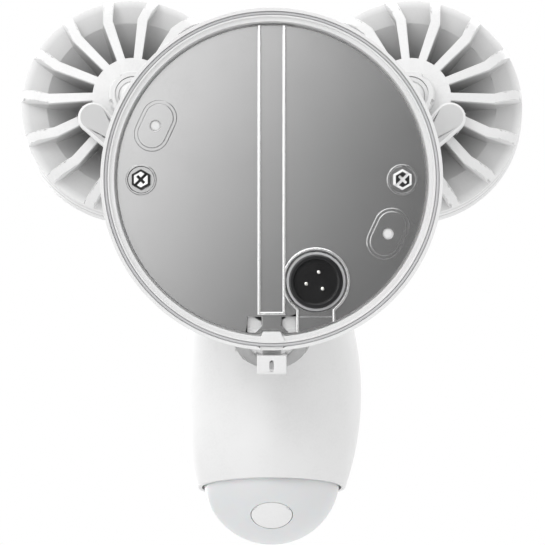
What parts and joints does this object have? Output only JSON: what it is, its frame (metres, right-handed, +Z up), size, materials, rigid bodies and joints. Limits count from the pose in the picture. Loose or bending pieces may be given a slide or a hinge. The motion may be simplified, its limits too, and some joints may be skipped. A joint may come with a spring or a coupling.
{
  "type": "floodlight security camera",
  "caption": "Wall-mounted floodlight camera: round canopy with power inlet, tilting finned lamps and a barrel-shaped camera with a motion dome, each on a ball-jointed arm",
  "frame": {"origin": "centre of the canopy's rim plane, where it meets the wall", "axes": "+Z up, the wall is the plane Y = 0, the lamps and camera face -Y, +X is to the right seen from the front, looking along +Y"},
  "size_m": [0.2342, 0.1337, 0.2527],
  "materials": {
    "white_shell": "satin",
    "grey_plate": "satin",
    "white_metal": "satin powder coat",
    "soft_seal": "matt",
    "black_rubber": "matt",
    "black_plastic": "gloss",
    "steel": "plated",
    "brass": "bright",
    "board": "solder mask",
    "components": "satin",
    "wire": "satin",
    "led": "gloss",
    "mirror": "polished",
    "frosted": "frosted",
    "milky": "satin, milky",
    "glass": "polished",
    "lever_grey": "satin"
  },
  "bodies": {
    "canopy": {"canopy_shell": "white_shell", "rear_plate": "grey_plate", "rim_gasket": "soft_seal", "power_inlet": "black_plastic", "inlet_pins": "brass", "inlet_seal": "soft_seal", "hex_screws": "steel", "nut_washers": "black_rubber", "cap_nuts": "steel", "driver_board": "board", "driver_parts": "components", "terminal_block": "components", "inlet_leads": "wire", "cable_grommet": "black_rubber", "latch_spring": "steel", "lamp_arm_right": "white_metal", "lamp_arm_left": "white_metal", "camera_arm": "white_metal", "arm_rings": "white_shell"},
    "release_latch": {"release_latch": "white_shell"},
    "camera_swivel": {"camera_cup": "white_shell"},
    "camera": {"camera_shell": "white_shell", "camera_cap": "white_shell", "camera_face": "black_plastic", "lens_ring": "black_plastic", "lens_window": "glass", "camera_lens": "black_plastic", "ir_leds": "led", "status_light": "frosted", "sensor_board": "board", "main_board": "board", "speaker": "components", "sensor_dome": "milky", "motion_sensors": "components"},
    "camera_lock": {"camera_lock_ring": "white_shell"},
    "sync_button": {"sync_button": "white_shell"},
    "swivel_right": {"ball_cup_right": "white_shell"},
    "lamp_right": {"heat_sink_right": "white_metal", "lamp_bezel_right": "white_shell", "lamp_cover_right": "frosted", "cover_gasket_right": "black_rubber", "reflector_right": "mirror", "led_board_right": "board", "led_chips_right": "led", "bezel_screws_right": "steel", "lever_screw_right": "steel"},
    "lock_collar_right": {"lock_collar_right": "white_shell"},
    "clamp_lever_right": {"clamp_lever_right": "lever_grey"},
    "swivel_left": {"ball_cup_left": "white_shell"},
    "lamp_left": {"heat_sink_left": "white_metal", "lamp_bezel_left": "white_shell", "lamp_cover_left": "frosted", "cover_gasket_left": "black_rubber", "reflector_left": "mirror", "led_board_left": "board", "led_chips_left": "led", "bezel_screws_left": "steel", "lever_screw_left": "steel"},
    "lock_collar_left": {"lock_collar_left": "white_shell"},
    "clamp_lever_left": {"clamp_lever_left": "lever_grey"}
  },
  "joints": [
    {"name": "lamp_pan_right", "type": "hinge", "parent": "canopy", "child": "swivel_right", "pos_m": [0.06339, -0.066, 0.03989], "axis": [0, 0, 1], "range_deg": [-10, 20]},
    {"name": "lamp_tilt_right", "type": "hinge", "parent": "swivel_right", "child": "lamp_right", "pos_m": [0.06339, -0.066, 0.03989], "axis": [1, 0, 0], "range_deg": [-30, 20]},
    {"name": "collar_turn_right", "type": "hinge", "parent": "lamp_right", "child": "lock_collar_right", "pos_m": [0.06339, -0.066, 0.03989], "axis": [0.0598, -0.9781, -0.1994], "range_deg": [-30, 30]},
    {"name": "lever_swing_right", "type": "hinge", "parent": "lamp_right", "child": "clamp_lever_right", "pos_m": [0.06421, -0.05764, 0.01293], "axis": [0.0598, -0.9781, -0.1994], "range_deg": [-50, 0]},
    {"name": "lamp_pan_left", "type": "hinge", "parent": "canopy", "child": "swivel_left", "pos_m": [-0.06339, -0.066, 0.03989], "axis": [0, 0, -1], "range_deg": [-10, 20]},
    {"name": "lamp_tilt_left", "type": "hinge", "parent": "swivel_left", "child": "lamp_left", "pos_m": [-0.06339, -0.066, 0.03989], "axis": [1, 0, 0], "range_deg": [-30, 20]},
    {"name": "collar_turn_left", "type": "hinge", "parent": "lamp_left", "child": "lock_collar_left", "pos_m": [-0.06339, -0.066, 0.03989], "axis": [0.0598, 0.9781, 0.1994], "range_deg": [-30, 30]},
    {"name": "lever_swing_left", "type": "hinge", "parent": "lamp_left", "child": "clamp_lever_left", "pos_m": [-0.06421, -0.05764, 0.01293], "axis": [0.0598, 0.9781, 0.1994], "range_deg": [-50, 0]},
    {"name": "camera_pan", "type": "hinge", "parent": "canopy", "child": "camera_swivel", "pos_m": [0, -0.06, -0.0683], "axis": [0, 0, 1], "range_deg": [-25, 25]},
    {"name": "camera_tilt", "type": "hinge", "parent": "camera_swivel", "child": "camera", "pos_m": [0, -0.06, -0.0683], "axis": [1, 0, 0], "range_deg": [-14, 14]},
    {"name": "camera_lock_turn", "type": "hinge", "parent": "camera", "child": "camera_lock", "pos_m": [0, -0.06, -0.0683], "axis": [0, -0.9781, -0.2079], "range_deg": [-30, 30]},
    {"name": "button_press", "type": "slide", "parent": "camera", "child": "sync_button", "axis": [0, -0.848, 0.5299], "range_m": [0, 0.0008], "stiffness_N_per_m": 400, "springref_m": -0.001},
    {"name": "latch_slide", "type": "slide", "parent": "canopy", "child": "release_latch", "axis": [0, 0, 1], "range_m": [0, 0.0018], "stiffness_N_per_m": 300, "springref_m": -0.002, "deforming": ["latch_spring"]}
  ]
}
